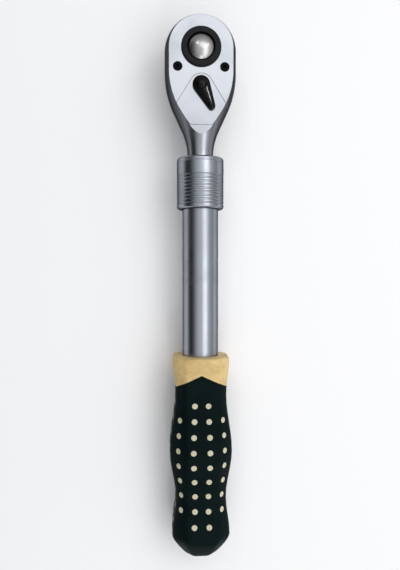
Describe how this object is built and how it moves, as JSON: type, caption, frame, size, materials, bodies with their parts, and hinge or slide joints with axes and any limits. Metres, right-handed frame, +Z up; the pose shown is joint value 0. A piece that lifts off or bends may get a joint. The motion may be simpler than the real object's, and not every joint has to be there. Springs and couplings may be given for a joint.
{
  "type": "telescopic ratchet wrench",
  "caption": "Ratchet wrench with a square drive, quick-release button, reversing lever and a bar that slides in a tube with a locking collar and an octagonal rubber grip.",
  "frame": {"origin": "centre of the square drive's tip face", "axes": "+Z up through the head to the reversing lever's side, +Y along the tool from grip to head, +X to the right as seen from the lever's side with the head up"},
  "size_m": [0.04, 0.3045, 0.0429],
  "materials": {
    "satin_chrome": "satin chrome plate",
    "bright_chrome": "polished chrome",
    "black_oxide": "black oxide steel",
    "black_gloss": "gloss black steel",
    "bare_steel": "bare hardened steel",
    "beige_plastic": "matte beige plastic",
    "green_black_rubber": "dark green-black rubber"
  },
  "bodies": {
    "handle": {"outer_tube": "satin_chrome", "tube_plug": "bare_steel", "collar_snap_ring": "bare_steel", "collar_spring": "bare_steel", "grip_core": "beige_plastic", "grip_sleeve": "green_black_rubber", "grip_dots": "beige_plastic"},
    "ratchet_head": {"head_body": "satin_chrome", "cover_plate": "satin_chrome", "cover_screws": "black_oxide", "thrust_washer": "bare_steel", "lever_snap_ring": "bare_steel"},
    "drive": {"drive_gear": "black_oxide", "button_spring": "bare_steel"},
    "button": {"release_button": "bright_chrome"},
    "detent": {"detent_ball": "bare_steel"},
    "lever": {"reversing_lever": "black_gloss", "plunger_spring": "bare_steel"},
    "plunger": {"lever_plunger": "bare_steel"},
    "pawl_body": {"pawl": "bare_steel"},
    "collar": {"lock_collar": "satin_chrome", "collar_cap": "satin_chrome"},
    "lock_left": {"lock_ball_left": "bare_steel"},
    "lock_right": {"lock_ball_right": "bare_steel"}
  },
  "joints": [
    {"name": "bar_slide", "type": "slide", "parent": "handle", "child": "ratchet_head", "axis": [0, 1, 0], "range_m": [0, 0.138]},
    {"name": "drive_spin", "type": "hinge", "parent": "ratchet_head", "child": "drive", "pos_m": [0, 0, 0.0253], "axis": [0, 0, 1], "continuous": true},
    {"name": "button_press", "type": "slide", "parent": "drive", "child": "button", "axis": [0, 0, -1], "range_m": [0, 0.003], "stiffness_N_per_m": 1000, "deforming": ["button_spring"]},
    {"name": "ball_retract", "type": "slide", "parent": "drive", "child": "detent", "axis": [-1, 0, 0], "range_m": [0, 0.001]},
    {"name": "lever_flip", "type": "hinge", "parent": "ratchet_head", "child": "lever", "pos_m": [0, -0.0205, 0.0253], "axis": [0, 0, 1], "range_deg": [-51, 0]},
    {"name": "pawl_rock", "type": "hinge", "parent": "ratchet_head", "child": "pawl_body", "pos_m": [0, -0.0205, 0.0253], "axis": [0, 0, 1], "range_deg": [-7, 0]},
    {"name": "plunger_push", "type": "slide", "parent": "lever", "child": "plunger", "axis": [0.4305, -0.9026, 0], "range_m": [0, 0.0008], "stiffness_N_per_m": 500, "deforming": ["plunger_spring"]},
    {"name": "collar_pull", "type": "slide", "parent": "handle", "child": "collar", "axis": [0, -1, 0], "range_m": [0, 0.004], "stiffness_N_per_m": 1500, "deforming": ["collar_spring"]},
    {"name": "lock_left_lift", "type": "slide", "parent": "handle", "child": "lock_left", "axis": [-1, 0, 0], "range_m": [0, 0.001]},
    {"name": "lock_right_lift", "type": "slide", "parent": "handle", "child": "lock_right", "axis": [1, 0, 0], "range_m": [0, 0.001]}
  ],
  "couplings": [
    {"joint": "ball_retract", "follows": "button_press", "ratio": 0.33333},
    {"joint": "pawl_rock", "follows": "lever_flip", "ratio": 0.13725},
    {"joint": "lock_left_lift", "follows": "collar_pull", "ratio": 0.25},
    {"joint": "lock_right_lift", "follows": "collar_pull", "ratio": 0.25}
  ]
}
